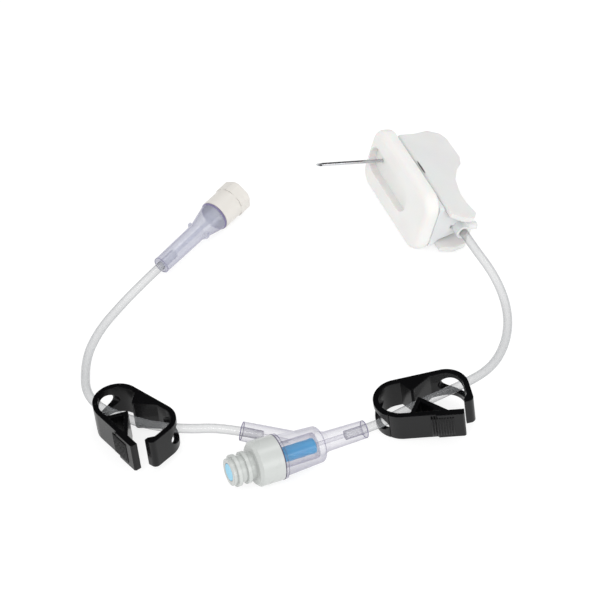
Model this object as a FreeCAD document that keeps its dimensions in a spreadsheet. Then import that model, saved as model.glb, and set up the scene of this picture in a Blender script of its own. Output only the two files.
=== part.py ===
import FreeCAD
import Part
import Sketcher
import math
import os
import re
from FreeCAD import Vector

# Infusion set with a right-angle needle, two pinch clamps, a side valve and a capped luer end, laid on a table.
# Millimetres. X is to the right, Y is away from the viewer and Z is up; the table is at Z = 0.

SIZES = {
    # tube
    "tube_od": 2.2,
    "tube_lead": 4.3,
    "socket_clear": 0.03,
    "socket_depth": 5.0,
    "channel_radius": 0.5,
    # needle, in the head's own frame: X along the tube port, Z along the needle
    "needle_od": 0.9,
    "needle_bore": 0.6,
    "needle_reach": 19.0,
    "needle_tip_bend": 12.0,
    "needle_tip_radius": 10.0,
    "needle_elbow_radius": 3.0,
    "needle_tail": 6.0,
    "needle_clear": 0.02,
    "bevel_length": 2.6,
    # head, laid on its side
    "head_x": 23.08,
    "head_y": 46.51,
    "head_yaw": -67.7,
    "head_lean": 75.5,
    "pad_length": 33.0,
    "pad_width": 17.0,
    "pad_thick": 4.0,
    "pad_shift": 11.5,
    "pad_corner": 4.0,
    "pad_rim_round": 1.2,
    "pad_back_round": 0.5,
    "pad_recess_length": 22.0,
    "pad_recess_width": 7.0,
    "pad_recess_depth": 2.0,
    "pad_recess_shift": 7.5,
    "pad_hole_clear": 0.3,
    "hub_start": -4.0,
    "hub_end": 27.5,
    "foot_half": 6.2,
    "foot_edge": 1.2,
    "ridge_foot_half": 4.3,
    "ridge_foot": 2.8,
    "ridge_top_half": 2.3,
    "hub_round": 0.9,
    "port_depth": 9.3,
    "port_radius": 1.9,
    "port_start": -1.9,
    "port_overhang": 2.5,
    "post_radius": 1.05,
    "post_height": 4.6,
    "post_setback": 2.5,
    "slot_start": 4.5,
    "slot_end": 9.5,
    "slot_low": 3.0,
    "slot_high": 4.4,
    "slot_face": 5.2,
    "vent_radius": 0.5,
    "vent_place": 7.0,
    "vent_depth": 2.0,
    "wing_line": 5.4,
    "wing_hinge_depth": 4.7,
    "wing_thick": 1.4,
    "wing_clear": 0.08,
    "wing_lean_upper": 14.0,
    "wing_lean_lower": 9.4,
    "wing_corner": 1.5,
    "wing_lobe_thick": 2.3,
    "wing_lobe_round": 0.7,
    # clamps, each in a frame of its own: X from the hinge end to the latch end
    "clamp_length": 22.8,
    "clamp_width": 11.4,
    "clamp_height": 7.7,
    "clamp_wall": 1.3,
    "clamp_open": 11.0,
    "clamp_fit": 0.08,
    "clamp_hinge_turn": 60.0,
    "clamp_corner": 1.2,
    "clamp_lip": 0.9,
    "clamp_lip_reach": 1.05,
    "clamp_lip_ramp": 1.4,
    "clamp_tip_gap": 0.25,
    "clamp_back_start": 7.3,
    "clamp_back_place": 9.2,
    "clamp_back_flat": 0.7,
    "clamp_back_end": 14.5,
    "clamp_back_apex": 1.4,
    "clamp_pinch_gap": 1.25,
    "clamp_front_start": 7.8,
    "clamp_front_place": 9.6,
    "clamp_front_flat": 0.4,
    "clamp_front_end": 16.5,
    "clamp_void_start": 8.8,
    "clamp_void_end": 14.8,
    "clamp_void_place": 10.1,
    "clamp_void_rise": 3.25,
    "clamp_thumb": 0.35,
    "clamp_thumb_length": 6.6,
    "clamp_hole_width": 7.8,
    "clamp_hole_height": 5.0,
    "clamp_hinge_hole_turn": 192.0,
    "clamp_latch_hole_turn": 45.0,
    "near_x": 19.76,
    "near_y": -36.55,
    "near_turn": 10.5,
    "near_tilt": 7.0,
    "far_x": -44.29,
    "far_y": -33.25,
    "far_turn": -41.4,
    "far_tilt": 7.0,
    # side valve, in its own frame: X from the face to the tail
    "valve_x": -14.32,
    "valve_y": -56.55,
    "valve_turn": 25.4,
    "valve_dip": 3.1,
    "nose_length": 5.8,
    "nose_radius": 3.2,
    "nose_bore": 2.15,
    "nose_wall": 0.3,
    "lug_radius": 3.8,
    "lug_width": 0.9,
    "lug_pitch": 2.4,
    "lug_start": 1.0,
    "cap_radius": 5.4,
    "cap_end": 12.0,
    "cap_chamfer": 0.7,
    "spigot_radius": 4.2,
    "spigot_length": 3.0,
    "spigot_clear": 0.03,
    "flange_thick": 0.8,
    "barrel_radius": 4.9,
    "barrel_end_radius": 4.35,
    "barrel_end": 23.1,
    "barrel_round": 1.1,
    "chamber_radius": 3.1,
    "chamber_end": 21.6,
    "tail_root_radius": 2.9,
    "tail_cone": 1.5,
    "tail_radius": 2.38,
    "tail_end_radius": 2.15,
    "tail_end": 34.5,
    "plug_clear": 0.1,
    "plug_rim": 0.55,
    "plug_rim_thick": 0.9,
    "plug_stop_gap": 0.02,
    "bellows_radius": 2.4,
    "bellows_end_gap": 0.15,
    "bellows_bore_clear": 0.15,
    "bellows_bore_depth": 3.0,
    "spike_radius": 0.8,
    "spike_length": 2.4,
    "branch_join": 20.9,
    "branch_turn": 39.1,
    "branch_length": 16.6,
    "branch_radius": 2.3,
    "branch_root_radius": 2.7,
    # luer end, in its own frame: X from the tube socket to the cap
    "luer_x": -32.52,
    "luer_y": 13.85,
    "luer_turn": 52.5,
    "luer_slope": 3.0,
    "luer_tube_radius": 2.18,
    "luer_neck_radius": 2.35,
    "luer_shoulder": 14.3,
    "luer_flare_radius": 3.75,
    "luer_flare_end": 20.2,
    "luer_cap_start": 21.2,
    "luer_end_radius": 3.3,
    "luer_end_length": 6.3,
    "luer_bore": 2.15,
    "luer_bore_narrow": 0.2,
    "luer_bore_depth": 8.0,
    "ear_length": 1.8,
    "ear_span": 6.2,
    "ear_thick": 1.5,
    "lcap_radius": 4.05,
    "lcap_length": 9.2,
    "lcap_sleeve": 5.8,
    "lcap_hex_flats": 8.1,
    "lcap_hex_round": 4.3,
    "lcap_wall": 0.6,
    "lcap_clear": 0.12,
    "lcap_end_gap": 0.2,
    "lcap_pin_short": 1.0,
    "lcap_lift": 0.05,
}

# Sizes worked out from the ones above.
DERIVED = {
    "tube_radius": "tube_od / 2",
    "socket_radius": "tube_radius + socket_clear",
    "pad_back": "pad_thick - pad_recess_depth",
    "pad_start": "pad_shift - pad_length / 2",
    "head_rise": "(pad_width / 2 - pad_back_round) * sin(head_lean)"
    " + (pad_back - pad_back_round) * cos(head_lean) + pad_back_round",
    "port_end": "hub_end + port_overhang",
    "clamp_half": "clamp_width / 2",
    "clamp_inner": "clamp_half - clamp_wall",
    "clamp_bend": "clamp_length - clamp_half",
    "clamp_knuckle": "clamp_wall / 2",
    "clamp_middle": "clamp_half - clamp_knuckle",
    "clamp_socket": "clamp_knuckle + clamp_fit",
    "clamp_pivot": "clamp_half - clamp_middle * cos(clamp_hinge_turn)",
    "clamp_drop": "clamp_middle * sin(clamp_hinge_turn)",
    "clamp_hook_edge": "clamp_length - clamp_wall - clamp_lip_reach",
    "clamp_tip": "clamp_hook_edge - clamp_tip_gap",
    "clamp_front_apex": "clamp_back_apex - clamp_pinch_gap",
    "valve_rise": "(cap_end + flange_thick) * sin(valve_dip) + cap_radius * cos(valve_dip)",
    "nose_end": "nose_length + nose_wall",
    "plug_radius": "nose_bore - plug_clear",
    "plug_rim_start": "nose_end + plug_stop_gap",
    "plug_rim_end": "plug_rim_start + plug_rim_thick",
    "plug_rim_radius": "plug_radius + plug_rim",
    "spigot_start": "cap_end - spigot_length",
    "bellows_end": "chamber_end - bellows_end_gap",
    "luer_rise": "lcap_radius * cos(luer_slope) - luer_cap_start * sin(luer_slope) + lcap_lift",
    "luer_end": "luer_cap_start + luer_end_length",
    "lcap_cavity_radius": "luer_end_radius + lcap_clear",
    "lcap_cavity_end": "luer_end + lcap_end_gap",
    "lcap_end": "luer_cap_start + lcap_length",
}

# Outlines of a finger grip and of the thick part of its lobe: the place along the tube port and the reach from the hinge.
GRIP_OUTLINE = [
    (-2.5, 0),
    (-4, 4.9),
    (-6.6, 10.5),
    (-6.4, 14.7),
    (-4.5, 16),
    (3, 16.2),
    (6.3, 14.8),
    (9.5, 11.8),
    (14, 8.9),
    (20, 7.2),
    (23.5, 7.2),
    (27.6, 8.2),
    (29.9, 6.4),
    (30.5, 3),
    (29.5, 0),
]
LOBE_OUTLINE = [(-4, 6.8), (-5.7, 10.7), (-5.5, 14.3), (-4.2, 15.1), (2.8, 15.3), (5.8, 13.9), (8, 11.8), (8, 6.8)]
for mark, outline in (("grip", GRIP_OUTLINE), ("lobe", LOBE_OUTLINE)):
    for letter, (place, reach) in zip("abcdefghijklmnop", outline):
        SIZES[f"{mark}_place_{letter}"] = place
        SIZES[f"{mark}_reach_{letter}"] = reach

# Route points of the two tubes between their sockets, chosen by hand along the curves they lie in.
NEEDLE_SIDE_ROUTE = [
    (50.26, 9.45, 3.4),
    (52.86, -0.55, 1.6),
    (51.86, -10.55, 1.15),
    (47.66, -20.45, 2.2),
    (39.3, -29.98, 6.1),
    (25.36, -36.48, 4.3),
]
LUER_SIDE_ROUTE = [
    (-41.74, 1.85, 1.5),
    (-47.14, -7.35, 1.15),
    (-49.74, -17.35, 1.25),
    (-48.24, -32.85, 3.6),
    (-35.74, -40.6, 4.9),
    (-25.24, -43.25, 5.8),
]
ARC_SHARE = 0.45

os.makedirs("parts", exist_ok=True)
doc = FreeCAD.newDocument("infusion_set")
sheet = doc.addObject("Spreadsheet::Sheet", "Sizes")
known = {}
pieces = {}


def sized(text):
    """Puts the sheet's name before each size in an expression."""
    return re.sub(r"[a-z][a-z_]+", lambda word: ("Sizes." if word.group() in known else "") + word.group(), text)


for row, (alias, value) in enumerate([*SIZES.items(), *DERIVED.items()], start=1):
    sheet.set(f"A{row}", alias)
    plain = re.sub(r"[a-z][a-z_]+", lambda word: known.get(word.group(), word.group()), str(value))
    sheet.set(f"B{row}", plain if alias in SIZES else "=" + plain)
    sheet.setAlias(f"B{row}", alias)
    known[alias] = f"B{row}"
doc.recompute()

HEAD = "placement(vector(head_x; head_y; head_rise); rotationz(head_yaw) * rotationx(head_lean))"
NEAR = "placement(vector(near_x; near_y; 0); rotationz(near_turn) * rotationy(0 - near_tilt))"
FAR = "placement(vector(far_x; far_y; 0); rotationz(far_turn) * rotationy(0 - far_tilt))"
VALVE = "placement(vector(valve_x; valve_y; valve_rise); rotationz(valve_turn) * rotationy(valve_dip))"
LUER = "placement(vector(luer_x; luer_y; luer_rise); rotationz(luer_turn) * rotationy(0 - luer_slope))"


def worth(text):
    return float(sheet.evalExpression(sized(text)))


def bind(thing, prop, text):
    thing.setExpression(prop, sized(text))


def finish(thing, label, where):
    """Names a finished sub-part and stands it in its frame."""
    doc.recompute()
    thing.Label = label
    bind(thing, "Placement", where)
    doc.recompute()
    pieces[label] = thing
    return thing


def corner(x, y, radius=None, side=0):
    """A vertex, and how the edge that leaves it runs: straight, or an arc with its centre on the left (1) or right (-1)."""
    return (x, y, radius, side)


def edge_between(start, end):
    (x0, y0), (x1, y1) = ((worth(v[0]), worth(v[1])) for v in (start, end))
    if not start[3]:
        return Part.LineSegment(Vector(x0, y0, 0), Vector(x1, y1, 0)), True
    radius, half = worth(start[2]), math.hypot(x1 - x0, y1 - y0) / 2
    reach = math.sqrt(max(radius * radius - half * half, 0)) * start[3]
    centre = Vector((x0 + x1) / 2 - (y1 - y0) / (2 * half) * reach, (y0 + y1) / 2 + (x1 - x0) / (2 * half) * reach, 0)
    forward = start[3] > 0
    ends = [(x0, y0), (x1, y1)] if forward else [(x1, y1), (x0, y0)]
    angles = [math.atan2(y - centre.y, x - centre.x) for x, y in ends]
    if angles[1] < angles[0]:
        angles[1] += 2 * math.pi
    return Part.ArcOfCircle(Part.Circle(centre, Vector(0, 0, 1), radius), *angles), forward


def pin_point(sketch, item, point, x, y):
    """Holds one point of the sketch at two sizes of the sheet."""
    for kind, axis, text in (("DistanceX", -2, x), ("DistanceY", -1, y)):
        if text == "0":
            sketch.addConstraint(Sketcher.Constraint("PointOnObject", item, point, axis))
        else:
            number = sketch.addConstraint(Sketcher.Constraint(kind, -1, 1, item, point, worth(text)))
            bind(sketch, f"Constraints[{number}]", text)


def draw_loop(sketch, corners, closed=True):
    """Adds one outline to a sketch, with every vertex and radius bound to the sheet."""
    first = sketch.GeometryCount
    edges = len(corners) if closed else len(corners) - 1
    ways = []
    for place_in_loop in range(edges):
        shape, forward = edge_between(corners[place_in_loop], corners[(place_in_loop + 1) % len(corners)])
        sketch.addGeometry(shape)
        ways.append((1, 2) if forward else (2, 1))
    for place_in_loop in range(edges):
        item, (begin, finish_point) = first + place_in_loop, ways[place_in_loop]
        pin_point(sketch, item, begin, *corners[place_in_loop][:2])
        if corners[place_in_loop][3]:
            number = sketch.addConstraint(Sketcher.Constraint("Radius", item, worth(corners[place_in_loop][2])))
            bind(sketch, f"Constraints[{number}]", corners[place_in_loop][2])
        if closed or place_in_loop < edges - 1:
            after = (place_in_loop + 1) % edges
            join = Sketcher.Constraint("Coincident", item, finish_point, first + after, ways[after][0])
            sketch.addConstraint(join)
        else:
            pin_point(sketch, item, finish_point, *corners[-1][:2])


def draw_circle(sketch, x, y, radius):
    item = sketch.addGeometry(Part.Circle(Vector(worth(x), worth(y), 0), Vector(0, 0, 1), worth(radius)))
    pin_point(sketch, item, 3, x, y)
    number = sketch.addConstraint(Sketcher.Constraint("Radius", item, worth(radius)))
    bind(sketch, f"Constraints[{number}]", radius)


def new_sketch(body, name, plane, offset="0"):
    """An empty sketch on one of the body's own planes, moved along the plane's normal."""
    sketch = body.newObject("Sketcher::SketchObject", name)
    support = [part for part in body.Origin.OriginFeatures if part.Role == plane][0]
    sketch.AttachmentSupport = [(support, "")]
    sketch.MapMode = "FlatFace"
    bind(sketch, "AttachmentOffset.Base.z", offset)
    return sketch


def new_body(name):
    return doc.addObject("PartDesign::Body", name)


def feature(body, kind, name, sketch, length=None, **flags):
    item = body.newObject("PartDesign::" + kind, name)
    item.Profile = sketch
    for flag, value in flags.items():
        setattr(item, flag, value)
    if length:
        bind(item, "Length", length)
    doc.recompute()
    return item


def revolve(body, kind, name, corners):
    """Turns an outline drawn in the XY plane about the body's X axis."""
    sketch = new_sketch(body, name + "Outline", "XY_Plane")
    draw_loop(sketch, corners)
    item = body.newObject("PartDesign::" + kind, name)
    item.Profile = sketch
    item.ReferenceAxis = (sketch, ["H_Axis"])
    item.Angle = 360.0
    doc.recompute()
    return item


def round_edges(body, name, base, radius, wanted):
    """Fillets the edges of a feature that pass a test."""
    names = [f"Edge{number}" for number, edge in enumerate(base.Shape.Edges, start=1) if wanted(edge)]
    fillet = body.newObject("PartDesign::Fillet", name)
    fillet.Base = (base, names)
    bind(fillet, "Radius", radius)
    body.Tip = fillet
    doc.recompute()
    return fillet


def level(edge, axis):
    """The edge's place along an axis, or None where it isn't level."""
    low, high = getattr(edge.BoundBox, axis + "Min"), getattr(edge.BoundBox, axis + "Max")
    return round((low + high) / 2, 3) if high - low < 0.001 else None


def rounded_rectangle(low, high, half, radius):
    arc = (radius, 1)
    return [
        corner(f"{low} + {radius}", f"0 - {half}"),
        corner(f"{high} - {radius}", f"0 - {half}", *arc),
        corner(high, f"{radius} - {half}"),
        corner(high, f"{half} - {radius}", *arc),
        corner(f"{high} - {radius}", half),
        corner(f"{low} + {radius}", half, *arc),
        corner(low, f"{half} - {radius}"),
        corner(low, f"{radius} - {half}", *arc),
    ]


def stadium(low, high, half):
    return [
        corner(f"{low} + {half}", f"0 - {half}"),
        corner(f"{high} - {half}", f"0 - {half}", half, 1),
        corner(high, "0", half, 1),
        corner(f"{high} - {half}", half),
        corner(f"{low} + {half}", half, half, 1),
        corner(low, "0", half, 1),
    ]


def cannula_run(body, kind, name, radius, hollow):
    """Sweeps the needle's steel: the tail along the port, the elbow, the shaft and the slightly bent tip."""
    path = new_sketch(body, name + "Path", "XZ_Plane")
    drop, bend = "needle_tip_radius * sin(needle_tip_bend)", "needle_tip_radius * (1 - cos(needle_tip_bend))"
    draw_loop(
        path,
        [
            corner("needle_elbow_radius + needle_tail", "0 - port_depth"),
            corner("needle_elbow_radius", "0 - port_depth", "needle_elbow_radius", -1),
            corner("0", "needle_elbow_radius - port_depth"),
            corner("0", f"needle_reach - {drop}", "needle_tip_radius", -1),
            corner(bend, "needle_reach"),
        ],
        closed=False,
    )
    ring = new_sketch(body, name + "Ring", "YZ_Plane", "needle_elbow_radius + needle_tail")
    draw_circle(ring, "0", "0 - port_depth", radius)
    if hollow:
        draw_circle(ring, "0", "0 - port_depth", "needle_bore / 2")
    item = body.newObject("PartDesign::" + kind, name)
    item.Profile = ring
    item.Spine = path
    doc.recompute()
    return item


def make_cannula():
    body = new_body("Cannula")
    cannula_run(body, "AdditivePipe", "Steel", "needle_od / 2", True)
    bevel = new_sketch(body, "BevelShape", "XZ_Plane")
    side = "needle_tip_radius * (1 - cos(needle_tip_bend))"
    draw_loop(
        bevel,
        [
            corner(f"{side} - needle_od / 2", "needle_reach - 0.1"),
            corner(f"{side} + needle_od / 2", "needle_reach - bevel_length"),
            corner(f"{side} + needle_od * 2", "needle_reach - bevel_length"),
            corner(f"{side} + needle_od * 2", "needle_reach + needle_od"),
            corner(f"{side} - needle_od / 2", "needle_reach + needle_od"),
        ],
    )
    feature(body, "Pocket", "Bevel", bevel, "needle_od * 3", Midplane=True)
    return finish(body, "needle_cannula", HEAD)


def make_pad():
    body = new_body("Pad")
    outline = new_sketch(body, "PadOutline", "XY_Plane", "0 - pad_back")
    draw_loop(outline, rounded_rectangle("pad_start", "pad_start + pad_length", "pad_width / 2", "pad_corner"))
    slab = feature(body, "Pad", "Slab", outline, "pad_thick")
    front, back = round(worth("pad_recess_depth"), 3), round(-worth("pad_back"), 3)
    rim = round_edges(body, "Rim", slab, "pad_rim_round", lambda edge: level(edge, "Z") == front)
    round_edges(body, "BackRim", rim, "pad_back_round", lambda edge: level(edge, "Z") == back)
    hollow = new_sketch(body, "RecessOutline", "XY_Plane", "pad_recess_depth")
    start = "pad_recess_shift - pad_recess_length / 2"
    draw_loop(hollow, stadium(f"({start})", f"({start} + pad_recess_length)", "pad_recess_width / 2"))
    feature(body, "Pocket", "Recess", hollow, "pad_recess_depth")
    hole = new_sketch(body, "NeedleHoleOutline", "XY_Plane", "pad_recess_depth")
    draw_circle(hole, "0", "0", "needle_od / 2 + pad_hole_clear")
    feature(body, "Pocket", "NeedleHole", hole, "pad_thick * 2", Midplane=True)
    return finish(body, "skin_pad", HEAD)


def make_hub():
    body = new_body("Hub")
    section = new_sketch(body, "SaddleSection", "YZ_Plane", "hub_start")
    profile = [
        ("foot_half", "pad_back"),
        ("foot_half", "pad_back + foot_edge"),
        ("ridge_foot_half", "pad_back + ridge_foot"),
        ("ridge_top_half", "port_depth"),
    ]
    right = [corner(half, f"0 - ({depth})") for half, depth in profile]
    left = [corner(f"0 - {half}", f"0 - ({depth})") for half, depth in reversed(profile)]
    draw_loop(section, right + left)
    saddle = feature(body, "Pad", "Saddle", section, "hub_end - hub_start")
    kept = [round(-worth(text), 3) for text in ("pad_back", "pad_back + ridge_foot")]
    round_edges(body, "SaddleRound", saddle, "hub_round", lambda edge: level(edge, "Z") not in kept)
    port = new_sketch(body, "PortOutline", "YZ_Plane", "port_start")
    draw_circle(port, "0", "0 - port_depth", "port_radius")
    feature(body, "Pad", "Port", port, "port_end - port_start")
    post = new_sketch(body, "PostOutline", "XY_Plane", "0 - port_depth")
    draw_circle(post, "port_end - post_setback", "0", "post_radius")
    feature(body, "Pad", "Post", post, "post_height", Reversed=True)
    grooves = new_sketch(body, "GrooveOutline", "YZ_Plane", "hub_start - wing_thick")
    for side in ("wing_line", "0 - wing_line"):
        draw_circle(grooves, side, "0 - wing_hinge_depth", "wing_thick / 2 + wing_clear")
    feature(body, "Pocket", "HingeGrooves", grooves, "hub_end - hub_start + wing_thick * 2", Reversed=True)
    mouth = new_sketch(body, "SocketOutline", "YZ_Plane", "port_end")
    draw_circle(mouth, "0", "0 - port_depth", "socket_radius")
    feature(body, "Pocket", "Socket", mouth, "socket_depth")
    bore = new_sketch(body, "ChannelOutline", "YZ_Plane", "port_end")
    draw_circle(bore, "0", "0 - port_depth", "channel_radius")
    feature(body, "Pocket", "Channel", bore, "port_end - needle_elbow_radius - needle_tail")
    cannula_run(body, "SubtractivePipe", "CannulaSeat", "needle_od / 2 + needle_clear", False)
    slot = new_sketch(body, "SlotOutline", "XZ_Plane", "0 - slot_face")
    draw_loop(
        slot,
        [
            corner("slot_start", "0 - slot_low"),
            corner("slot_end", "0 - slot_low"),
            corner("slot_end", "0 - slot_high"),
            corner("slot_start", "0 - slot_high"),
        ],
    )
    feature(body, "Pocket", "Slot", slot, "foot_half")
    vent = new_sketch(body, "VentOutline", "YZ_Plane", "hub_end")
    draw_circle(vent, "0", "0 - vent_place", "vent_radius")
    feature(body, "Pocket", "Vent", vent, "vent_depth")
    return finish(body, "needle_hub", HEAD)


def make_wing(label, side):
    """One finger grip, drawn upright about its own hinge line; side is 1 for the upper one and -1 for the lower."""
    body = new_body("Wing" + ("Upper" if side > 0 else "Lower"))
    loops = {}
    for mark, outline in (("grip", GRIP_OUTLINE), ("lobe", LOBE_OUTLINE)):
        letters = "abcdefghijklmnop"[: len(outline)]
        loops[mark] = [corner(f"{mark}_place_{letter}", f"0 - {mark}_reach_{letter}") for letter in letters]
    outline = new_sketch(body, "WingOutline", "XZ_Plane")
    draw_loop(outline, loops["grip"])
    plate = feature(body, "Pad", "Plate", outline, "wing_thick", Midplane=True)
    round_edges(
        body,
        "PlateCorners",
        plate,
        "wing_corner",
        lambda edge: level(edge, "X") is not None and level(edge, "Z") is not None and level(edge, "Z") < -0.5,
    )
    lobe = new_sketch(body, "LobeOutline", "XZ_Plane", f"{side} * wing_thick / 2")
    draw_loop(lobe, loops["lobe"])
    thickened = feature(body, "Pad", "Lobe", lobe, "wing_lobe_thick - wing_thick", Reversed=side < 0)
    reach = worth("wing_lobe_thick - wing_thick / 2")
    round_edges(
        body,
        "LobeRound",
        thickened,
        "wing_lobe_round",
        lambda edge: level(edge, "Y") is not None and abs(abs(level(edge, "Y")) - reach) < 0.001,
    )
    knuckle = new_sketch(body, "KnuckleOutline", "YZ_Plane", "grip_place_a")
    draw_circle(knuckle, "0", "0", "wing_thick / 2")
    feature(body, "Pad", "Knuckle", knuckle, "grip_place_o - grip_place_a")
    lean = "0 - wing_lean_upper" if side > 0 else "wing_lean_lower"
    hinge = f"placement(vector(0; {side} * wing_line; 0 - wing_hinge_depth); rotationx({lean}))"
    return finish(body, label, f"{HEAD} * {hinge}")


def hole_tool(name, centre_x, turn):
    """An oval bar that cuts a tube hole through a clamp's curved end."""
    oval = doc.addObject("Part::Ellipse", name + "Oval")
    bind(oval, "MajorRadius", "clamp_hole_width / 2")
    bind(oval, "MinorRadius", "clamp_hole_height / 2")
    bar = doc.addObject("Part::Extrusion", name)
    bar.Base = oval
    bar.DirMode = "Normal"
    bar.Solid = True
    bind(bar, "LengthFwd", "clamp_width")
    bind(
        bar,
        "Placement",
        f"placement(vector({centre_x}; 0; clamp_height / 2); rotationz({turn}) * rotationy(90) * rotationz(90))",
    )
    doc.recompute()
    return bar


def make_clamp_frame(label, where):
    body = new_body("Frame_" + label)
    outline = new_sketch(body, "BandOutline", "XY_Plane")
    inner, outer = "clamp_inner", "clamp_half"
    across, down = "cos(clamp_hinge_turn)", "sin(clamp_hinge_turn)"
    draw_loop(
        outline,
        [
            corner(f"{outer} - {outer} * {across}", f"0 - {outer} * {down}", outer, -1),
            corner("0", "0", outer, -1),
            corner(outer, outer),
            corner("clamp_bend", outer, outer, -1),
            corner("clamp_length", "0"),
            corner("clamp_length", f"clamp_corner - {outer}", "clamp_corner", -1),
            corner("clamp_length - clamp_corner", f"0 - {outer}"),
            corner("clamp_hook_edge", f"0 - {outer}"),
            corner("clamp_hook_edge", f"clamp_lip - {outer}"),
            corner("clamp_length - clamp_wall", f"clamp_lip + clamp_lip_ramp - {outer}"),
            corner("clamp_length - clamp_wall", "0", inner, 1),
            corner("clamp_bend", inner),
            corner("clamp_back_end", inner),
            corner("clamp_back_place + clamp_back_flat", "clamp_back_apex"),
            corner("clamp_back_place", "clamp_back_apex"),
            corner("clamp_back_start", inner),
            corner(outer, inner, inner, 1),
            corner("clamp_wall", "0", inner, 1),
            corner(f"{outer} - {inner} * {across}", f"0 - {inner} * {down}"),
        ],
    )
    feature(body, "Pad", "Band", outline, "clamp_height")
    seat = new_sketch(body, "HingeSeatOutline", "XY_Plane")
    draw_circle(seat, "clamp_pivot", "0 - clamp_drop", "clamp_socket")
    feature(body, "Pocket", "HingeSeat", seat, "clamp_height * 3", Midplane=True)
    holes = doc.addObject("Part::MultiFuse", "Holes_" + label)
    holes.Shapes = [
        hole_tool("HingeHole_" + label, "clamp_half", "clamp_hinge_hole_turn"),
        hole_tool("LatchHole_" + label, "clamp_bend", "clamp_latch_hole_turn"),
    ]
    frame = doc.addObject("Part::Cut", "FrameCut_" + label)
    frame.Base = body
    frame.Tool = holes
    return finish(frame, label, where)


def make_clamp_arm(label, where):
    """The free arm, drawn shut about its hinge at the origin and then swung open."""
    body = new_body("Arm_" + label)
    across, down = "clamp_knuckle * cos(clamp_hinge_turn)", "clamp_knuckle * sin(clamp_hinge_turn)"
    face, back = "clamp_drop - clamp_inner", "clamp_drop - clamp_half"
    apex = "clamp_front_apex + clamp_drop"
    tip = "clamp_tip - clamp_pivot"
    outline = new_sketch(body, "ArmOutline", "XY_Plane")
    draw_loop(
        outline,
        [
            corner(f"0 - {across}", f"0 - {down}", "clamp_half", 1),
            corner("clamp_half - clamp_pivot", back),
            corner(f"{tip} - clamp_thumb_length", back),
            corner(f"{tip} - clamp_thumb_length + clamp_thumb", f"{back} - clamp_thumb"),
            corner(f"{tip} - clamp_thumb", f"{back} - clamp_thumb"),
            corner(tip, back),
            corner(tip, face),
            corner("clamp_front_end - clamp_pivot", face),
            corner("clamp_front_place + clamp_front_flat - clamp_pivot", apex),
            corner("clamp_front_place - clamp_pivot", apex),
            corner("clamp_front_start - clamp_pivot", face),
            corner("clamp_half - clamp_pivot", face, "clamp_inner", -1),
            corner(across, down),
        ],
    )
    draw_loop(
        outline,
        [
            corner("clamp_void_start - clamp_pivot", face),
            corner("clamp_void_end - clamp_pivot", face),
            corner("clamp_void_place - clamp_pivot", f"{face} + clamp_void_rise"),
        ],
    )
    feature(body, "Pad", "Band", outline, "clamp_height")
    knuckle = new_sketch(body, "KnuckleOutline", "XY_Plane")
    draw_circle(knuckle, "0", "0", "clamp_knuckle")
    feature(body, "Pad", "Knuckle", knuckle, "clamp_height")
    hinge = "placement(vector(clamp_pivot; 0 - clamp_drop; 0); rotationz(0 - clamp_open))"
    return finish(body, label, f"{where} * {hinge}")


def make_valve_cap():
    body = new_body("ValveCap")
    lugs = []
    for number in range(2):
        start = f"lug_start + {number} * lug_pitch"
        lugs += [
            corner(start, "nose_radius"),
            corner(start, "lug_radius"),
            corner(f"{start} + lug_width", "lug_radius"),
            corner(f"{start} + lug_width", "nose_radius"),
        ]
    revolve(
        body,
        "Revolution",
        "Shell",
        [
            corner("0", "nose_bore"),
            corner("0", "nose_radius"),
            *lugs,
            corner("nose_length", "nose_radius"),
            corner("nose_length", "cap_radius - cap_chamfer"),
            corner("nose_length + cap_chamfer", "cap_radius"),
            corner("cap_end", "cap_radius"),
            corner("cap_end", "spigot_radius + spigot_clear"),
            corner("spigot_start", "spigot_radius + spigot_clear"),
            corner("spigot_start", "chamber_radius"),
            corner("nose_end", "chamber_radius"),
            corner("nose_end", "nose_bore"),
        ],
    )
    return finish(body, "valve_cap", VALVE)


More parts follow.
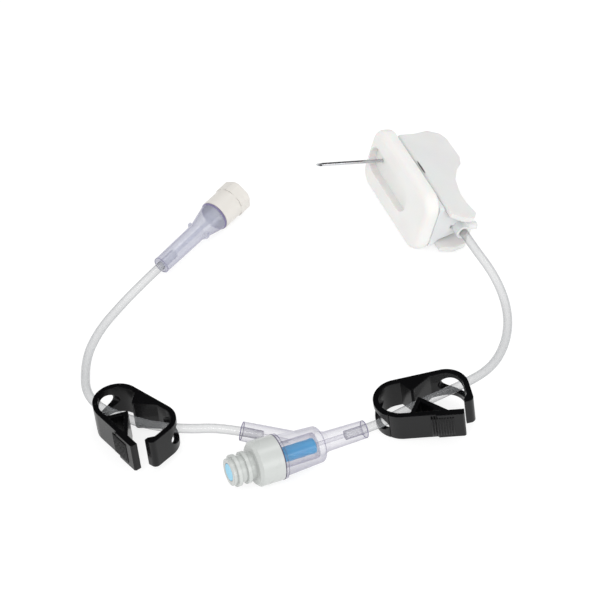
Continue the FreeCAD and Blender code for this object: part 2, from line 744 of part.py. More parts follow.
def make_valve_body():
    outer = new_body("BarrelOuter")
    revolve(
        outer,
        "Revolution",
        "Barrel",
        [
            corner("spigot_start", "0"),
            corner("spigot_start", "spigot_radius"),
            corner("cap_end", "spigot_radius"),
            corner("cap_end", "cap_radius"),
            corner("cap_end + flange_thick", "cap_radius"),
            corner("cap_end + flange_thick", "barrel_radius"),
            corner("barrel_end - barrel_round", "barrel_end_radius", "barrel_round", -1),
            corner("barrel_end", "barrel_end_radius - barrel_round"),
            corner("barrel_end", "tail_root_radius"),
            corner("barrel_end + tail_cone", "tail_radius"),
            corner("tail_end", "tail_end_radius"),
            corner("tail_end", "0"),
        ],
    )
    turn = "placement(vector(branch_join; 0; 0); rotationz(180 - branch_turn) * rotationy(90))"
    arm = doc.addObject("Part::Cone", "BranchArm")
    bind(arm, "Radius1", "branch_root_radius")
    bind(arm, "Radius2", "branch_radius")
    bind(arm, "Height", "branch_length")
    bind(arm, "Placement", turn)
    solid = doc.addObject("Part::MultiFuse", "ValveSolid")
    solid.Shapes = [outer, arm]
    inner = new_body("BarrelInner")
    revolve(
        inner,
        "Revolution",
        "Chamber",
        [
            corner("spigot_start - flange_thick", "0"),
            corner("spigot_start - flange_thick", "chamber_radius"),
            corner("chamber_end", "chamber_radius"),
            corner("chamber_end", "spike_radius"),
            corner("chamber_end - spike_length", "spike_radius"),
            corner("chamber_end - spike_length", "channel_radius"),
            corner("tail_end - socket_depth", "channel_radius"),
            corner("tail_end - socket_depth", "socket_radius"),
            corner("tail_end + flange_thick", "socket_radius"),
            corner("tail_end + flange_thick", "0"),
        ],
    )
    cuts = [inner]
    for name, radius, start in (
        ("BranchChannel", "channel_radius", "chamber_radius / sin(branch_turn) - flange_thick"),
        ("BranchSocket", "socket_radius", "branch_length - socket_depth"),
    ):
        bore = doc.addObject("Part::Cylinder", name)
        bind(bore, "Radius", radius)
        bind(bore, "Height", f"branch_length + flange_thick - ({start})")
        bind(bore, "Placement", f"{turn} * placement(vector(0; 0; {start}); rotationz(0))")
        cuts.append(bore)
    hollow = doc.addObject("Part::MultiFuse", "ValveHollow")
    hollow.Shapes = cuts
    valve = doc.addObject("Part::Cut", "ValveBody")
    valve.Base = solid
    valve.Tool = hollow
    return finish(valve, "valve_body", VALVE)


def make_valve_plug():
    body = new_body("Plug")
    revolve(
        body,
        "Revolution",
        "Stem",
        [
            corner("0", "0"),
            corner("0", "plug_radius"),
            corner("plug_rim_start", "plug_radius"),
            corner("plug_rim_start", "plug_rim_radius"),
            corner("plug_rim_end", "plug_rim_radius"),
            corner("plug_rim_end", "0"),
        ],
    )
    return finish(body, "valve_plug", VALVE)


def make_valve_bellows():
    body = new_body("Bellows")
    revolve(
        body,
        "Revolution",
        "Core",
        [
            corner("plug_rim_end", "0"),
            corner("plug_rim_end", "plug_rim_radius"),
            corner("spigot_start + spigot_length", "plug_rim_radius"),
            corner("spigot_start + spigot_length + flange_thick", "bellows_radius"),
            corner("bellows_end", "bellows_radius"),
            corner("bellows_end", "spike_radius + bellows_bore_clear"),
            corner("bellows_end - bellows_bore_depth", "spike_radius + bellows_bore_clear"),
            corner("bellows_end - bellows_bore_depth", "0"),
        ],
    )
    return finish(body, "valve_bellows", VALVE)


def make_luer_hub():
    body = new_body("LuerHub")
    throat = "luer_end - luer_bore_depth"
    revolve(
        body,
        "Revolution",
        "Shell",
        [
            corner("0", "socket_radius"),
            corner("0", "luer_tube_radius"),
            corner("luer_shoulder", "luer_neck_radius"),
            corner("luer_flare_end", "luer_flare_radius"),
            corner("luer_cap_start", "luer_flare_radius"),
            corner("luer_cap_start", "luer_end_radius"),
            corner("luer_end", "luer_end_radius"),
            corner("luer_end", "luer_bore"),
            corner(throat, "luer_bore - luer_bore_narrow"),
            corner(throat, "channel_radius"),
            corner("socket_depth", "channel_radius"),
            corner("socket_depth", "socket_radius"),
        ],
    )
    ears = new_sketch(body, "EarOutline", "XY_Plane")
    for side in ("", "0 - "):
        near_wall, far_wall = f"{side}luer_tube_radius", f"{side}ear_span / 2"
        draw_loop(
            ears,
            [
                corner("luer_shoulder - ear_length / 2", near_wall),
                corner("luer_shoulder + ear_length / 2", near_wall),
                corner("luer_shoulder + ear_length / 2", far_wall),
                corner("luer_shoulder", far_wall),
            ],
        )
    feature(body, "Pad", "Ears", ears, "ear_thick", Midplane=True)
    return finish(body, "luer_hub", LUER)


def make_luer_cap():
    sleeve = doc.addObject("Part::Cylinder", "CapSleeve")
    bind(sleeve, "Radius", "lcap_radius")
    bind(sleeve, "Height", "lcap_sleeve")
    bind(sleeve, "Placement", "placement(vector(luer_cap_start; 0; 0); rotationy(90))")
    prism = doc.addObject("Part::Prism", "CapPrism")
    prism.Polygon = 6
    bind(prism, "Circumradius", "lcap_hex_flats / 2 / cos(30)")
    bind(prism, "Height", "lcap_length - lcap_sleeve")
    rounding = doc.addObject("Part::Cylinder", "CapRounding")
    bind(rounding, "Radius", "lcap_hex_round")
    bind(rounding, "Height", "lcap_length - lcap_sleeve")
    for item in (prism, rounding):
        bind(item, "Placement", "placement(vector(luer_cap_start + lcap_sleeve; 0; 0); rotationy(90))")
    hexagon = doc.addObject("Part::MultiCommon", "CapHexagon")
    hexagon.Shapes = [prism, rounding]
    outside = doc.addObject("Part::MultiFuse", "CapOutside")
    outside.Shapes = [sleeve, hexagon]
    cavity = new_body("CapCavity")
    pin_start = "luer_cap_start + lcap_pin_short"
    narrow = f"luer_bore_narrow * (luer_end - ({pin_start})) / luer_bore_depth"
    revolve(
        cavity,
        "Revolution",
        "Ring",
        [
            corner("luer_cap_start - lcap_wall", "0"),
            corner("luer_cap_start - lcap_wall", "lcap_cavity_radius"),
            corner("lcap_cavity_end", "lcap_cavity_radius"),
            corner("lcap_cavity_end", "luer_bore - lcap_clear"),
            corner(pin_start, f"luer_bore - lcap_clear - {narrow}"),
            corner(pin_start, "0"),
        ],
    )
    cap = doc.addObject("Part::Cut", "LuerCap")
    cap.Base = outside
    cap.Tool = cavity
    return finish(cap, "luer_cap", LUER)


def tube_path(points):
    """Straight runs joined by tangent arcs, each as large as its two runs allow, and the radii used."""
    edges, radii, last = [], [], points[0]
    for before, here, after in zip(points, points[1:], points[2:]):
        to_here, onward = here - before, after - here
        turn = to_here.getAngle(onward)
        reach = ARC_SHARE * min(to_here.Length, onward.Length)
        radii.append(round(reach / math.tan(turn / 2), 1))
        to_here.normalize()
        onward.normalize()
        begin, end = here - to_here * reach, here + onward * reach
        inward = onward - to_here
        inward.normalize()
        middle = here + inward * (reach / math.tan(turn / 2) * (1 / math.cos(turn / 2) - 1))
        edges.append(Part.LineSegment(last, begin).toShape())
        edges.append(Part.Arc(begin, middle, end).toShape())
        last = end
    edges.append(Part.LineSegment(last, points[-1]).toShape())
    return Part.Wire(edges), radii


def socket_points(piece, mouth, inward):
    """The bottom of a tube socket and a point straight out of it."""
    axis = piece.Placement.Rotation.multVec(inward)
    axis.normalize()
    opening = piece.Placement.multVec(mouth)
    return opening + axis * worth("socket_depth"), opening - axis * worth("tube_lead")


def make_tube(label, start, route, end):
    bottom, lead = start
    far_bottom, far_lead = end
    points = [bottom, lead, *(Vector(*point) for point in route), far_lead, far_bottom]
    path, radii = tube_path(points)
    radius = worth("tube_radius")
    ring = Part.Wire(Part.makeCircle(radius, bottom, lead - bottom))
    tube = doc.addObject("Part::Feature", "Tube_" + label)
    tube.Shape = path.makePipeShell([ring], True, False)
    tube.Label = label
    expected = math.pi * radius * radius * path.Length
    print(f"{label}: length {path.Length:.1f}, least radius {min(radii)}, radii {radii}")
    print(f"{label}: volume {tube.Shape.Volume:.2f} for {expected:.2f}")
    doc.recompute()
    pieces[label] = tube


make_cannula()
make_pad()
hub = make_hub()
make_wing("wing_upper", 1)
make_wing("wing_lower", -1)
for end_name, frame_place in (("needle_side", NEAR), ("luer_side", FAR)):
    make_clamp_frame("clamp_frame_" + end_name, frame_place)
    make_clamp_arm("clamp_arm_" + end_name, frame_place)
make_valve_cap()
valve_body = make_valve_body()
make_valve_plug()
make_valve_bellows()
luer_hub = make_luer_hub()
make_luer_cap()

hub_socket = socket_points(hub, Vector(worth("port_end"), 0, -worth("port_depth")), Vector(-1, 0, 0))
tail_socket = socket_points(valve_body, Vector(worth("tail_end"), 0, 0), Vector(-1, 0, 0))
branch_angle = math.radians(worth("branch_turn"))
branch_out = Vector(-math.cos(branch_angle), math.sin(branch_angle), 0)
branch_mouth = Vector(worth("branch_join"), 0, 0) + branch_out * worth("branch_length")
branch_socket = socket_points(valve_body, branch_mouth, -branch_out)
luer_socket = socket_points(luer_hub, Vector(0, 0, 0), Vector(1, 0, 0))
make_tube("tube_needle_side", hub_socket, NEEDLE_SIDE_ROUTE, tail_socket)
make_tube("tube_luer_side", luer_socket, LUER_SIDE_ROUTE, branch_socket)

doc.recompute()
faults = [item.Name for item in doc.Objects if "Invalid" in item.State or "Error" in item.State]
for label, item in pieces.items():
    shape = item.Shape
    if shape.isNull() or not shape.isValid() or len(shape.Solids) != 1:
        faults.append(label)
if faults:
    raise RuntimeError("faulty: " + ", ".join(faults))
for label, item in pieces.items():
    item.Shape.exportStep(f"parts/{label}.step")
    box = item.Shape.BoundBox
    print(f"{label}: {item.Shape.Volume:.1f} mm3, Z {box.ZMin:.2f} to {box.ZMax:.2f}")
print(len(pieces), "pieces")
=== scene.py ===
import bpy
import math
from mathutils import Matrix, Vector


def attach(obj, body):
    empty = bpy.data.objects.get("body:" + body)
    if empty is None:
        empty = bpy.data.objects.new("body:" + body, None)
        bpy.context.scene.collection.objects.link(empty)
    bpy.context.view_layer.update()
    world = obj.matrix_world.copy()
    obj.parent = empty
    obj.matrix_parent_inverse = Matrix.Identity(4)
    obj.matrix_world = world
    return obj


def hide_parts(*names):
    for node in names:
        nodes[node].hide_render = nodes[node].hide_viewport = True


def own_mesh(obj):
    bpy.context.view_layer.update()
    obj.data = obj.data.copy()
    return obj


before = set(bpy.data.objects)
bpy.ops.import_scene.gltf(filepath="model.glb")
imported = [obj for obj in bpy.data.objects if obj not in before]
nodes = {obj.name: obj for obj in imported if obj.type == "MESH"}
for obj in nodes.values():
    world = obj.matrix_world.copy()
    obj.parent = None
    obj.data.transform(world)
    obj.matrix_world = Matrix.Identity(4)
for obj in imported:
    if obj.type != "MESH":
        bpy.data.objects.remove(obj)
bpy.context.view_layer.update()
print("frame loaded:", len(nodes), "pieces")


def degrees(angle):
    return math.radians(angle)


def placed(x, y, z, turn, tilt=0, roll=0):
    # millimetres and degrees: turned about Z, then Y, then X
    return (
        Matrix.Translation(Vector((x, y, z)) / 1000)
        @ Matrix.Rotation(degrees(turn), 4, "Z")
        @ Matrix.Rotation(degrees(tilt), 4, "Y")
        @ Matrix.Rotation(degrees(roll), 4, "X")
    )


places = {
    "head": placed(23.08, 46.51, 8.6208, -67.7, 0, 75.5),
    "near": placed(19.76, -36.55, 0, 10.5, -7),
    "far": placed(-44.29, -33.25, 0, -41.4, -7),
    "valve": placed(-14.32, -56.55, 6.0843, 25.4, 3.1),
    "luer": placed(-32.52, 13.85, 2.9849, 52.5, -3),
}

# camera

camera = {"target": (0.00068, 0.00625, 0), "distance": 0.6, "elevation": 45, "lens": 148.27}
eye = Vector(camera["target"]) + Vector(
    (0, -math.cos(degrees(camera["elevation"])), math.sin(degrees(camera["elevation"])))
) * camera["distance"]
bpy.ops.object.select_all(action="DESELECT")
bpy.ops.object.camera_add(location=eye, rotation=(degrees(90 - camera["elevation"]), 0, 0))
viewer = bpy.context.object
viewer.data.sensor_fit = "HORIZONTAL"
viewer.data.lens = camera["lens"]
viewer.data.clip_start = 0.01
bpy.context.scene.camera = viewer
print("camera set")

# cords

tubing = {
    "radius": 0.0011,
    "needleSide": [
        (0.0409, 0.0268, 0.00629),
        (0.04443, 0.01819, 0.00629),
        (0.05026, 0.00945, 0.0034),
        (0.05286, -0.00055, 0.0016),
        (0.05186, -0.01055, 0.00115),
        (0.04766, -0.02045, 0.0022),
        (0.0393, -0.02998, 0.0061),
        (0.02536, -0.03648, 0.0043),
        (0.02068, -0.03993, 0.00399),
        (0.01229, -0.04391, 0.00449),
    ],
    "luerSide": [
        (-0.02948, 0.01781, 0.00325),
        (-0.03513, 0.01044, 0.00276),
        (-0.04174, 0.00185, 0.0015),
        (-0.04714, -0.00735, 0.00115),
        (-0.04974, -0.01735, 0.00125),
        (-0.04824, -0.03285, 0.0036),
        (-0.03574, -0.0406, 0.0049),
        (-0.02524, -0.04325, 0.0058),
        (-0.01575, -0.04264, 0.00583),
        (-0.00673, -0.04485, 0.00544),
    ],
}


def layTube(name, points, radius):
    curve = bpy.data.curves.new(name, "CURVE")
    curve.dimensions = "3D"
    spline = curve.splines.new("NURBS")
    spline.points.add(len(points) - 1)
    for point, place in zip(spline.points, points):
        point.co = (*place, 1)
        point.radius = radius
    spline.order_u = 3
    spline.use_endpoint_u = True
    curve.resolution_u = 24
    curve.bevel_depth = 1
    curve.bevel_resolution = 8
    curve.use_fill_caps = True
    tube = bpy.data.objects.new(name, curve)
    bpy.context.scene.collection.objects.link(tube)
    return tube


tubes = {}
for side, node, length in (("needleSide", "tube_needle_side", 0.0946), ("luerSide", "tube_luer_side", 0.1001)):
    points = tubing[side]
    tube = layTube("tube" + side[0].upper() + side[1:], points, tubing["radius"])
    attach(tube, "set")
    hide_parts(node)
    tubes[side] = tube
print("tubes laid")

# shader helpers


class Wire:
    def __init__(self, finish, socket):
        self.finish, self.socket = finish, socket

    def maths(self, operation, other=None, swapped=False):
        pair = [self] if other is None else [other, self] if swapped else [self, other]
        return self.finish.add("ShaderNodeMath", {"operation": operation}, dict(enumerate(pair)))

    def __add__(self, other):
        return self.maths("ADD", other)

    def __radd__(self, other):
        return self.maths("ADD", other, True)

    def __mul__(self, other):
        return self.maths("MULTIPLY", other)

    def __rmul__(self, other):
        return self.maths("MULTIPLY", other, True)

    def __pow__(self, other):
        return self.maths("POWER", other)


class Finish:
    def __init__(self, name, colour, roughness, **fixed):
        self.material = bpy.data.materials.new(name)
        self.material.use_nodes = True
        self.tree = self.material.node_tree
        self.shader = self.tree.nodes["Principled BSDF"]
        self.set("Base Color", (*colour, 1))
        self.set("Roughness", roughness)
        for socket, value in fixed.items():
            self.set(socket.replace("_", " "), value)

    def set(self, socket, value):
        target = self.shader.inputs[socket]
        if isinstance(value, Wire):
            self.tree.links.new(value.socket, target)
        else:
            target.default_value = value

    def add(self, kind, settings, values, output=0):
        node = self.tree.nodes.new(kind)
        for name, value in settings.items():
            setattr(node, name, value)
        for name, value in values.items():
            if isinstance(value, Wire):
                self.tree.links.new(value.socket, node.inputs[name])
            else:
                node.inputs[name].default_value = value
        return Wire(self, node.outputs[output])

    def place(self, scale=(1, 1, 1)):
        coordinates = self.add("ShaderNodeTexCoord", {}, {}, "Object")
        return self.add("ShaderNodeMapping", {}, {"Vector": coordinates, "Scale": scale})

    def noise(self, where, scale, detail=2.0):
        return self.add("ShaderNodeTexNoise", {}, {"Vector": where, "Scale": scale, "Detail": detail})

    def tints(self, amount, low, high):
        return self.add("ShaderNodeMix", {"data_type": "RGBA"}, {0: amount, 6: (*low, 1), 7: (*high, 1)}, 2)

    def bump(self, height, strength, distance=0.0001, softened=None):
        values = {"Height": height, "Strength": strength, "Distance": distance}
        if softened:
            values["Normal"] = softened
        self.set("Normal", self.add("ShaderNodeBump", {}, values))

    def roundedEdges(self, radius):
        return self.add("ShaderNodeBevel", {"samples": 4}, {"Radius": radius})

    def facing(self, blend=0.5):
        return self.add("ShaderNodeLayerWeight", {}, {"Blend": blend}, "Facing")


def coat(piece, finish):
    if not piece.material_slots:
        piece.data.materials.append(finish.material)
    for each in piece.material_slots:
        each.material = finish.material


# finishes


def steelFinish():
    finish = Finish("needleSteel", (0.62, 0.63, 0.65), 0.25, Metallic=1.0)
    drawn = finish.noise(finish.place((300, 300, 3000)), 1.0, 3)
    finish.set("Roughness", 0.2 + drawn * 0.16)
    finish.bump(drawn, 0.05, 0.00002)
    return finish


def padFinish():
    finish = Finish("padFoam", (0.8, 0.79, 0.77), 0.55, Subsurface_Weight=0.25, Subsurface_Scale=0.002)
    mottle = finish.noise(finish.place(), 160, 3)
    finish.set("Base Color", finish.tints(mottle, (0.76, 0.757, 0.74), (0.83, 0.827, 0.81)))
    grain = finish.noise(finish.place(), 2600, 2)
    finish.set("Roughness", 0.5 + grain * 0.2)
    finish.bump(grain, 0.25, 0.00004)
    return finish


def headFinish(name, low, high, clear):
    finish = Finish(name, high, 0.3, Subsurface_Weight=0.2, Subsurface_Scale=0.003)
    cloud = finish.noise(finish.place(), 90, 2)
    finish.set("Base Color", finish.tints(cloud, low, high))
    finish.set("Alpha", clear + finish.facing(0.4) * (1 - clear))
    finish.set("Roughness", 0.24 + cloud * 0.12)
    finish.bump(cloud, 0.1, 0.0001, finish.roundedEdges(0.0003))
    return finish


def tubeFinish():
    finish = Finish("tubeClear", (0.7, 0.71, 0.73), 0.08, Coat_Weight=0.5, Coat_Roughness=0.03)
    edge = finish.facing(0.35)
    haze = finish.noise(finish.place(), 220, 2)
    # painted shade: the base colour turns from light grey to near black towards the tube's outlines as seen from the
    # camera, standing for the dark edges of a clear tube
    finish.set("Base Color", finish.tints(edge, (0.46, 0.47, 0.48), (0.1, 0.11, 0.13)))
    finish.set("Alpha", 0.2 + edge**1.5 * 0.72 + haze * 0.06)
    finish.set("Roughness", 0.06 + haze * 0.06)
    return finish


def clampFinish():
    finish = Finish("clampBlack", (0.003, 0.003, 0.004), 0.3, Specular_IOR_Level=0.28)
    grain = finish.noise(finish.place(), 1800, 2)
    wear = finish.noise(finish.place(), 120, 2)
    finish.set("Base Color", finish.tints(wear, (0.001, 0.001, 0.0015), (0.003, 0.003, 0.0035)))
    finish.set("Roughness", 0.2 + wear * 0.12)
    finish.bump(grain, 0.12, 0.00003, finish.roundedEdges(0.00025))
    return finish


def mouldedFinish(name, low, high, roughness):
    finish = Finish(name, high, roughness)
    cloud = finish.noise(finish.place(), 140, 2)
    grain = finish.noise(finish.place(), 2200, 2)
    finish.set("Base Color", finish.tints(cloud, low, high))
    finish.set("Roughness", roughness - 0.05 + cloud * 0.1)
    finish.bump(grain, 0.06, 0.00003, finish.roundedEdges(0.0002))
    return finish


def clearFinish(name, middle, rim, clear):
    finish = Finish(name, middle, 0.06, Coat_Weight=0.4, Coat_Roughness=0.03)
    edge = finish.facing(0.35)
    haze = finish.noise(finish.place(), 150, 2)
    # painted shade: the base colour turns from the middle colour to the dark rim colour towards the outlines as seen
    # from the camera, standing for the dark edges of clear plastic
    finish.set("Base Color", finish.tints(edge, middle, rim))
    finish.set("Alpha", clear + edge**1.6 * (0.9 - clear) + haze * 0.05)
    finish.set("Roughness", 0.05 + haze * 0.08)
    return finish


finishes = {
    "steel": steelFinish(),
    "pad": padFinish(),
    "hub": headFinish("headClear", (0.82, 0.825, 0.83), (0.9, 0.9, 0.905), 0.68),
    "grip": headFinish("gripMilky", (0.76, 0.76, 0.755), (0.83, 0.83, 0.825), 0.85),
    "tube": tubeFinish(),
    "clamp": clampFinish(),
    "valveWhite": mouldedFinish("valveWhite", (0.49, 0.51, 0.495), (0.56, 0.58, 0.565), 0.28),
    # valveClear: the second colour is painted shade for the dark outlines of the clear body
    "valveClear": clearFinish("valveClear", (0.34, 0.32, 0.44), (0.1, 0.08, 0.22), 0.1),
    "face": mouldedFinish("siliconeFace", (0.24, 0.58, 0.8), (0.34, 0.7, 0.88), 0.4),
    "core": mouldedFinish("siliconeBlue", (0.0, 0.26, 0.6), (0.0, 0.42, 0.74), 0.35),
    # luerClear: the second colour is painted shade for the dark outlines of the clear hub
    "luer": clearFinish("luerClear", (0.58, 0.6, 0.7), (0.2, 0.18, 0.32), 0.45),
    "cap": mouldedFinish("capIvory", (0.65, 0.625, 0.585), (0.72, 0.695, 0.655), 0.42),
    # rim: painted shade, dark violet for the thin rings on the rims of the clear parts
    "rim": mouldedFinish("rimShadeViolet", (0.16, 0.14, 0.26), (0.24, 0.21, 0.36), 0.2),
    # shade: painted shade for the dark sliver along the upper grip's hinge
    "shade": mouldedFinish("slotShade", (0.06, 0.06, 0.06), (0.1, 0.1, 0.1), 0.5),
    # seam: painted shade, the dark line of the clear body's edge where it meets the cap
    "seam": mouldedFinish("seamShadeViolet", (0.03, 0.02, 0.06), (0.07, 0.05, 0.12), 0.3),
}
nodeFinish = {
    "needle_cannula": "steel",
    "skin_pad": "pad",
    "needle_hub": "hub",
    "wing_upper": "grip",
    "wing_lower": "grip",
    "tube_needle_side": "tube",
    "tube_luer_side": "tube",
    "clamp_frame_needle_side": "clamp",
    "clamp_arm_needle_side": "clamp",
    "clamp_frame_luer_side": "clamp",
    "clamp_arm_luer_side": "clamp",
    "valve_body": "valveClear",
    "valve_cap": "valveWhite",
    "valve_plug": "face",
    "valve_bellows": "core",
    "luer_hub": "luer",
    "luer_cap": "cap",
}
for node, finish in nodeFinish.items():
    coat(nodes[node], finishes[finish])
for tube in tubes.values():
    coat(tube, finishes["tube"])
print("finishes made")

# modelling helpers


def selectOnly(piece):
    bpy.ops.object.select_all(action="DESELECT")
    piece.select_set(True)
    bpy.context.view_layer.objects.active = piece


def applyModifier(piece, kind, **settings):
    selectOnly(piece)
    modifier = piece.modifiers.new(kind.title(), kind)
    for name, value in settings.items():
        setattr(modifier, name, value)
    bpy.ops.object.modifier_apply(modifier=modifier.name)


def settle(piece, name, place, angle):
    # bakes the piece's place into its mesh
    piece.name = piece.data.name = name
    selectOnly(piece)
    bpy.ops.object.transform_apply(location=True, rotation=True, scale=True)
    piece.data.transform(place)
    bpy.ops.object.shade_smooth_by_angle(angle=degrees(angle))
    return piece


def turnedPiece(profile, sides=48):
    # a ring drawn out along Z through pairs of height and radius, in millimetres, and closed at both ends
    height, radius = profile[0]
    bpy.ops.object.select_all(action="DESELECT")
    bpy.ops.mesh.primitive_circle_add(vertices=sides, radius=radius / 1000, fill_type="NGON", location=(0, 0, 0))
    piece = bpy.context.object
    piece.data.transform(Matrix.Translation((0, 0, height / 1000)))
    bpy.ops.object.mode_set(mode="EDIT")
    bpy.ops.mesh.select_all(action="SELECT")
    for nextHeight, nextRadius in profile[1:]:
        step = (nextHeight - height) / 1000
        bpy.ops.mesh.extrude_region_move(TRANSFORM_OT_translate={"value": (0, 0, step)})
        share = nextRadius / radius
        bpy.ops.transform.resize(value=(share, share, 1), center_override=(0, 0, nextHeight / 1000))
        height, radius = nextHeight, nextRadius
    bpy.ops.mesh.select_all(action="SELECT")
    bpy.ops.mesh.normals_make_consistent(inside=False)
    bpy.ops.object.mode_set(mode="OBJECT")
    return piece


alongX = Matrix.Rotation(degrees(90), 4, "Y")

# skin pad

pad = {
    "start": -5.0,
    "length": 33.0,
    "width": 17.0,
    "thick": 4.0,
    "corner": 4.6,
    "frontRound": 1.7,
    "backRound": 1.0,
    "recess": (-3.5, 18.5, 7.0, 2.0),
    "needleHole": 0.5,
}


def makePad():
    middle = pad["start"] + pad["length"] / 2
    bpy.ops.object.select_all(action="DESELECT")
    bpy.ops.mesh.primitive_cube_add(size=0.001, location=(middle / 1000, 0, 0))
    piece = bpy.context.object
    piece.scale = (pad["length"], pad["width"], pad["thick"])
    bpy.ops.object.transform_apply(location=True, rotation=True, scale=True)
    mesh = piece.data
    weights = mesh.attributes.new("bevel_weight_edge", "FLOAT", "EDGE")
    for edge in mesh.edges:
        ends = [mesh.vertices[v].co for v in edge.vertices]
        weights.data[edge.index].value = 1.0 if abs(ends[0].z - ends[1].z) > 0.001 else 0.0
    applyModifier(piece, "BEVEL", limit_method="WEIGHT", width=pad["corner"] / 1000, segments=12)
    top = pad["thick"] / 2000
    for level, size, steps in ((top, pad["frontRound"], 6), (-top, pad["backRound"], 4)):
        mesh = piece.data
        weights = mesh.attributes.get("bevel_weight_edge")
        weights = weights or mesh.attributes.new("bevel_weight_edge", "FLOAT", "EDGE")
        for edge in mesh.edges:
            heights = [mesh.vertices[v].co.z for v in edge.vertices]
            weights.data[edge.index].value = 1.0 if all(abs(z - level) < 1e-6 for z in heights) else 0.0
        applyModifier(piece, "BEVEL", limit_method="WEIGHT", width=size / 1000, segments=steps)
    low, high, wide, deep = pad["recess"]
    half = wide / 2000
    bpy.ops.mesh.primitive_cylinder_add(vertices=64, radius=half, depth=0.004, location=((low / 1000) + half, 0, top))
    cutter = bpy.context.object
    stretch = (high - low) / 1000 - 2 * half
    for vertex in cutter.data.vertices:
        if vertex.co.x > 1e-6:
            vertex.co.x += stretch
    applyModifier(piece, "BOOLEAN", operation="DIFFERENCE", object=cutter)
    bpy.data.objects.remove(cutter)
    bpy.ops.mesh.primitive_cylinder_add(vertices=24, radius=pad["needleHole"] / 1000, depth=0.012, location=(0, 0, 0))
    cutter = bpy.context.object
    applyModifier(piece, "BOOLEAN", operation="DIFFERENCE", object=cutter)
    bpy.data.objects.remove(cutter)
    return settle(piece, "padFoam", places["head"], 50)


padFoam = makePad()
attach(padFoam, "set")
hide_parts("skin_pad")
coat(padFoam, finishes["pad"])
print("pad made")

# blue core of the valve

core = {
    "start": 7.02,
    "end": 21.4,
    "head": 2.7,
    "foot": 0.6,
    "rim": 1.95,
    "foldRim": 1.85,
    "waist": 1.8,
    "folds": 4,
    "edge": 0.00012,
}


def makeCore():
    profile = [(core["start"], core["rim"]), (core["start"] + core["head"], core["rim"])]
    step = (core["end"] - core["start"] - core["head"] - core["foot"]) / core["folds"]
    height = core["start"] + core["head"]
    for fold in range(core["folds"]):
        for share, radius in ((0.3, "waist"), (0.6, "waist"), (0.9, "foldRim"), (1, "foldRim")):
            profile.append((height + step * share, core[radius]))
        height += step
    profile.append((core["end"], core["waist"]))
    piece = turnedPiece(profile)
    applyModifier(piece, "BEVEL", limit_method="ANGLE", angle_limit=degrees(25), width=core["edge"], segments=2)
    return settle(piece, "valveCore", places["valve"] @ alongX, 40)


valveCore = makeCore()
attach(valveCore, "set")
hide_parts("valve_bellows")
coat(valveCore, finishes["core"])
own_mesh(valveCore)
print("valve core made")

# rings: thin dark rings on the rims and at the cap joint of the clear parts, painted shade for the dark edges of
# clear plastic

rings = {
    "valveSeam": {"at": ("valve", 12.0), "radius": 5.36, "thick": 0.12, "finish": "seam", "slot": "valve_clear"},
    "tailRim": {"at": ("valve", 34.42), "radius": 2.06, "thick": 0.09, "finish": "rim", "slot": "valve_clear"},
    "luerRim": {"at": ("luer", 0.08), "radius": 2.1, "thick": 0.09, "finish": "rim", "slot": "luer_clear"},
    "luerRing": {"at": ("luer", 20.95), "radius": 3.72, "thick": 0.28, "finish": "rim", "slot": "luer_clear"},
    "branchRim": {"between": ("luerSide", -1), "radius": 2.2, "thick": 0.09, "finish": "rim", "slot": "valve_clear"},
}
branchMouth = (-0.01158, -0.04366, 0.00565)


def makeRing(name, facts):
    if "at" in facts:
        unit, reach = facts["at"]
        there = places[unit] @ Matrix.Translation((reach / 1000, 0, 0)) @ alongX
    else:
        side, end = facts["between"]
        direction = Vector(branchMouth) - Vector(tubing[side][end])
        there = Matrix.Translation(branchMouth) @ direction.to_track_quat("Z", "Y").to_matrix().to_4x4()
    bpy.ops.object.select_all(action="DESELECT")
    bpy.ops.mesh.primitive_torus_add(
        major_radius=facts["radius"] / 1000, minor_radius=facts["thick"] / 1000, major_segments=64, minor_segments=10
    )
    ring = settle(bpy.context.object, name, there, 60)
    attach(ring, "set")
    coat(ring, finishes[facts["finish"]])


for name, facts in rings.items():
    makeRing(name, facts)

# painted shade: a thin dark sliver along the upper grip's hinge, for the dark line next to the pad

slot = {"start": 8.6, "length": 5.0, "radius": 0.2, "side": 6.3, "depth": 4.2}


def makeHingeShade():
    reach, radius = slot["length"], slot["radius"]
    ends = [(0, 0.2), (0.15, 0.7), (0.5, 1), (0.85, 0.7), (1, 0.2)]
    piece = turnedPiece([(share * reach, wide * radius) for share, wide in ends], 16)
    there = Matrix.Translation((slot["start"] / 1000, slot["side"] / 1000, -slot["depth"] / 1000))
    settle(piece, "gripHingeShade", places["head"] @ there @ alongX, 60)
    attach(piece, "grip_upper")
    coat(piece, finishes["shade"])


makeHingeShade()

# grip ribs on the clamp arms

ribs = {
    "count": 9,
    "pitch": 0.62,
    "radius": 0.22,
    "start": 9.4,
    "face": -1.68,
    "low": 0.9,
    "high": 6.8,
    "open": 11.0,
    "hinge": (0.003175, -0.0043734, 0),
}


def makeRibs(name, place, body):
    pivot = Matrix.Translation(ribs["hinge"]) @ Matrix.Rotation(degrees(-ribs["open"]), 4, "Z")
    length = (ribs["high"] - ribs["low"]) / 1000
    bpy.ops.object.select_all(action="DESELECT")
    bpy.ops.mesh.primitive_cylinder_add(
        vertices=16,
        radius=ribs["radius"] / 1000,
        depth=length,
        location=(ribs["start"] / 1000, ribs["face"] / 1000, ribs["low"] / 1000 + length / 2),
    )
    rib = bpy.context.object
    applyModifier(rib, "BEVEL", limit_method="ANGLE", angle_limit=degrees(60), width=0.0001, segments=3)
    applyModifier(
        rib,
        "ARRAY",
        count=ribs["count"],
        use_relative_offset=False,
        use_constant_offset=True,
        constant_offset_displace=(ribs["pitch"] / 1000, 0, 0),
    )
    settle(rib, name, place @ pivot, 60)
    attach(rib, body)
    coat(rib, finishes["clamp"])


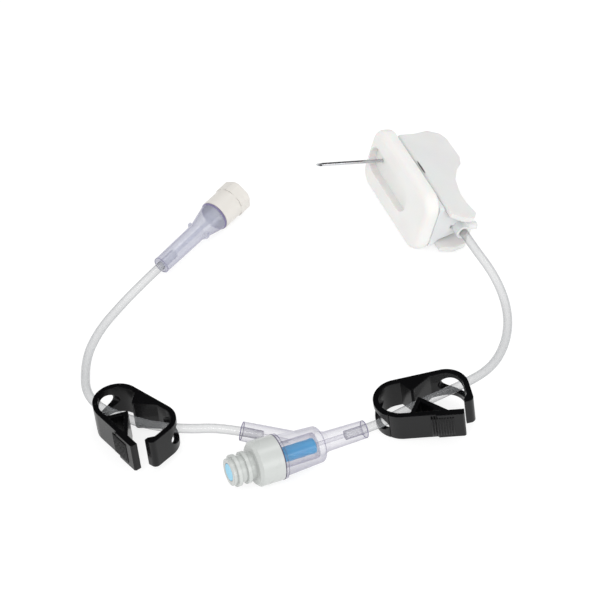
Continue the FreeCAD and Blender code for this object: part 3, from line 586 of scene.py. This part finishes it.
makeRibs("gripRibsNeedleSide", places["near"], "arm_needle_side")
makeRibs("gripRibsLuerSide", places["far"], "arm_luer_side")
print("ribs made")

# table and light

studio = {"floor": 0.9, "white": 1.12, "shadow": 0.3, "world": 0.78, "mirrored": 0.04}


def makeFloor():
    bpy.ops.object.select_all(action="DESELECT")
    bpy.ops.mesh.primitive_plane_add(size=3, location=(0, 0, 0))
    floor = bpy.context.object
    floor.name = "tableTop"
    finish = Finish("tableWhite", (studio["floor"],) * 3, 0.9)
    tree = finish.tree
    glow = tree.nodes.new("ShaderNodeEmission")
    glow.inputs["Color"].default_value = (1, 1, 1, 1)
    glow.inputs["Strength"].default_value = studio["white"]
    blend = tree.nodes.new("ShaderNodeMixShader")
    path = tree.nodes.new("ShaderNodeLightPath")
    seen = Wire(finish, path.outputs["Is Camera Ray"]).maths("MAXIMUM", Wire(finish, path.outputs["Is Glossy Ray"]))
    seen = seen.maths("MAXIMUM", Wire(finish, path.outputs["Is Transmission Ray"])) * (1 - studio["shadow"])
    tree.links.new(seen.socket, blend.inputs["Fac"])
    tree.links.new(finish.shader.outputs[0], blend.inputs[1])
    tree.links.new(glow.outputs[0], blend.inputs[2])
    tree.links.new(blend.outputs[0], tree.nodes["Material Output"].inputs["Surface"])
    finish.material.cycles.emission_sampling = "NONE"
    coat(floor, finish)


def makeLights():
    for name, spot, size, power in (
        ("keyLight", (-0.14, -0.48, 0.58), 0.3, 1.5),
        ("fillLight", (0.55, -0.45, 0.3), 0.4, 1.5),
        ("backLight", (0.2, 0.2, 0.85), 0.3, 0.9),
        ("sideLight", (-0.6, 0.1, 0.2), 0.35, 0.45),
    ):
        bpy.ops.object.light_add(type="AREA", location=spot)
        lamp = bpy.context.object
        lamp.name = name
        lamp.data.size = size
        lamp.data.energy = power
        lamp.rotation_euler = (Vector((0, 0, 0)) - Vector(spot)).to_track_quat("-Z", "Y").to_euler()
    world = bpy.context.scene.world or bpy.data.worlds.new("softRoom")
    bpy.context.scene.world = world
    world.use_nodes = True
    tree = world.node_tree
    room = tree.nodes["Background"]
    room.inputs["Color"].default_value = (1, 1, 1, 1)
    path = tree.nodes.new("ShaderNodeLightPath")
    strength = studio["world"]
    for ray, level in (("Is Glossy Ray", studio["mirrored"]), ("Is Camera Ray", 1.0)):
        choice = tree.nodes.new("ShaderNodeMix")
        tree.links.new(path.outputs[ray], choice.inputs[0])
        if isinstance(strength, float):
            choice.inputs[2].default_value = strength
        else:
            tree.links.new(strength, choice.inputs[2])
        choice.inputs[3].default_value = level
        strength = choice.outputs[0]
    tree.links.new(strength, room.inputs["Strength"])


makeFloor()
makeLights()
bpy.context.scene.view_settings.view_transform = "Standard"
print("studio lit")
